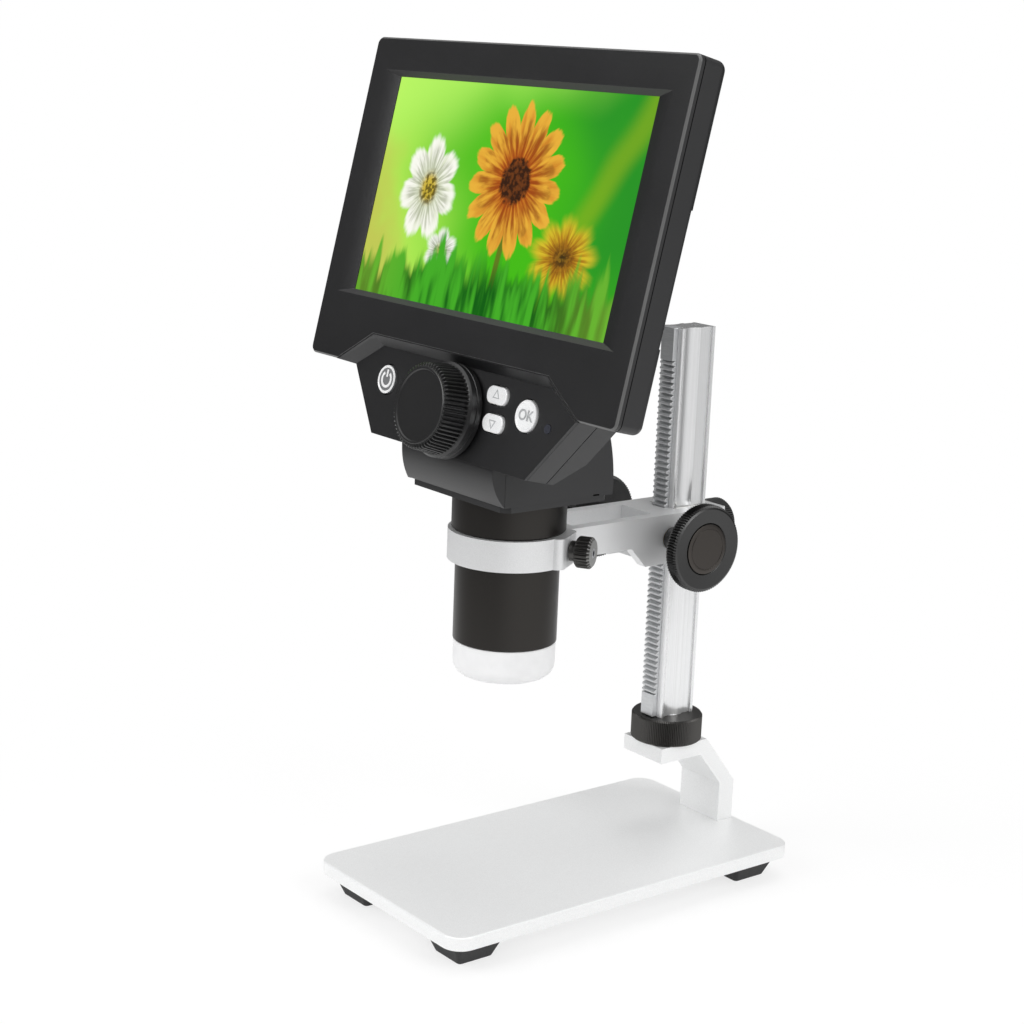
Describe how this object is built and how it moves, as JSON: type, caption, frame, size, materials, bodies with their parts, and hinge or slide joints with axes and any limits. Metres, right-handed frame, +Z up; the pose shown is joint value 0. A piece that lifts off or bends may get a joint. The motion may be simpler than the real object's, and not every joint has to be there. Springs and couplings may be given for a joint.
{
  "type": "digital microscope",
  "caption": "Digital microscope with a flat screen head, optical barrel and focus wheel, carried by a rack-driven arm on a column above a flat base plate.",
  "frame": {"origin": "bottom centre of the whole object, on the table", "axes": "+Z up, -Y towards the user, +X to the user's right; the column stands at +Y"},
  "size_m": [0.191, 0.1768, 0.3395],
  "materials": {
    "plate_aluminium": "satin anodised",
    "arm_aluminium": "blasted",
    "column_aluminium": "brushed along its length",
    "black_aluminium": "black anodised",
    "cap_disc": "satin",
    "steel": "plain",
    "rack_steel": "milled",
    "foot_rubber": "matt",
    "brass": "plain",
    "liner_plastic": "natural acetal",
    "case_plastic": "fine grain",
    "pod_plastic": "fine grain, lighter grey",
    "fascia_plastic": "fine grain",
    "button_plastic": "silver paint",
    "clear_plastic": "clear",
    "indicator_plastic": "milky",
    "board_green": "solder mask",
    "led_white": "clear resin",
    "lens_glass": "coated",
    "screen_glass": "satin",
    "battery_foil": "foil wrap",
    "ribbon_plastic": "flat ribbon"
  },
  "bodies": {
    "stand": {"base_plate": "plate_aluminium", "rubber_feet": "foot_rubber", "foot_screws": "steel", "column_bracket": "plate_aluminium", "bracket_screws": "steel", "column": "column_aluminium", "column_screw": "steel", "rack": "rack_steel", "rack_screws": "steel"},
    "lock_ring": {"column_lock_ring": "black_aluminium"},
    "carriage": {"carriage_arm": "arm_aluminium", "pressure_pad": "brass", "guide_liners": "liner_plastic", "shaft_bushes": "brass"},
    "height_drive": {"pinion_shaft": "steel", "height_knob_right": "black_aluminium", "height_knob_left": "black_aluminium", "knob_cap_right": "cap_disc", "knob_cap_left": "cap_disc"},
    "slide_lock": {"lock_knob": "black_aluminium", "lock_stud": "steel"},
    "ring_clamp": {"clamp_knob": "black_aluminium", "clamp_stud": "steel"},
    "head": {"barrel_tube": "black_aluminium", "barrel_collar": "black_aluminium", "clear_cap": "clear_plastic", "led_board": "board_green", "leds": "led_white", "lens_guide": "black_aluminium", "neck_housing": "case_plastic", "neck_front_cover": "case_plastic", "neck_base_plate": "black_aluminium", "neck_screws": "steel", "sensor_board": "board_green", "shaft_bracket": "plate_aluminium", "case_screws": "steel", "port_board": "board_green", "rear_case": "case_plastic", "front_bezel": "case_plastic", "lcd_panel": "screen_glass", "main_board": "board_green", "battery_pack": "battery_foil", "indicator_lens": "indicator_plastic", "focus_bushes": "brass", "control_panel": "pod_plastic", "control_fascia": "fascia_plastic", "button_board": "board_green", "ribbon_cable": "ribbon_plastic"},
    "focus_drive": {"focus_wheel": "case_plastic", "focus_shaft": "steel"},
    "lens_carriage": {"lens_tube": "black_aluminium", "objective_lens": "lens_glass"},
    "power_key": {"power_button": "button_plastic"},
    "up_key": {"up_button": "button_plastic"},
    "down_key": {"down_button": "button_plastic"},
    "ok_key": {"ok_button": "button_plastic"}
  },
  "joints": [
    {"name": "carriage_slide", "type": "slide", "parent": "stand", "child": "carriage", "axis": [0, 0, 1], "range_m": [-0.064, 0.064]},
    {"name": "height_drive_turn", "type": "hinge", "parent": "carriage", "child": "height_drive", "pos_m": [0, 0.04005, 0.146], "axis": [1, 0, 0], "range_deg": [-760, 760]},
    {"name": "slide_lock_turn", "type": "hinge", "parent": "carriage", "child": "slide_lock", "pos_m": [0, 0.075, 0.146], "axis": [0, 1, 0], "range_deg": [0, 540]},
    {"name": "ring_clamp_turn", "type": "hinge", "parent": "carriage", "child": "ring_clamp", "pos_m": [0.02544, -0.0174, 0.15005], "axis": [0.848, 0.5299, 0], "range_deg": [0, 540]},
    {"name": "lock_ring_turn", "type": "hinge", "parent": "stand", "child": "lock_ring", "pos_m": [0, 0.0562, 0.06], "axis": [0, 0, 1], "range_deg": [0, 90]},
    {"name": "head_swivel", "type": "hinge", "parent": "carriage", "child": "head", "pos_m": [0, -0.0333, 0.15], "axis": [0, 0, 1], "range_deg": [-60, 60]},
    {"name": "lens_slide", "type": "slide", "parent": "head", "child": "lens_carriage", "axis": [0, 0, 1], "range_m": [-0.002, 0.014]},
    {"name": "focus_turn", "type": "hinge", "parent": "head", "child": "focus_drive", "pos_m": [0, -0.06661, 0.20539], "axis": [0, -0.9726, 0.2326], "range_deg": [-35, 221]},
    {"name": "power_press", "type": "slide", "parent": "head", "child": "power_key", "axis": [0, 0.9726, -0.2326], "range_m": [0, 0.0006], "stiffness_N_per_m": 1500, "springref_m": -0.0004},
    {"name": "up_press", "type": "slide", "parent": "head", "child": "up_key", "axis": [0, 0.9726, -0.2326], "range_m": [0, 0.0006], "stiffness_N_per_m": 1500, "springref_m": -0.0004},
    {"name": "down_press", "type": "slide", "parent": "head", "child": "down_key", "axis": [0, 0.9726, -0.2326], "range_m": [0, 0.0006], "stiffness_N_per_m": 1500, "springref_m": -0.0004},
    {"name": "ok_press", "type": "slide", "parent": "head", "child": "ok_key", "axis": [0, 0.9726, -0.2326], "range_m": [0, 0.0006], "stiffness_N_per_m": 1500, "springref_m": -0.0004}
  ],
  "couplings": [
    {"joint": "height_drive_turn", "follows": "carriage_slide", "rad_per_m": -205.13},
    {"joint": "focus_turn", "follows": "lens_slide", "rad_per_m": 270.16}
  ]
}
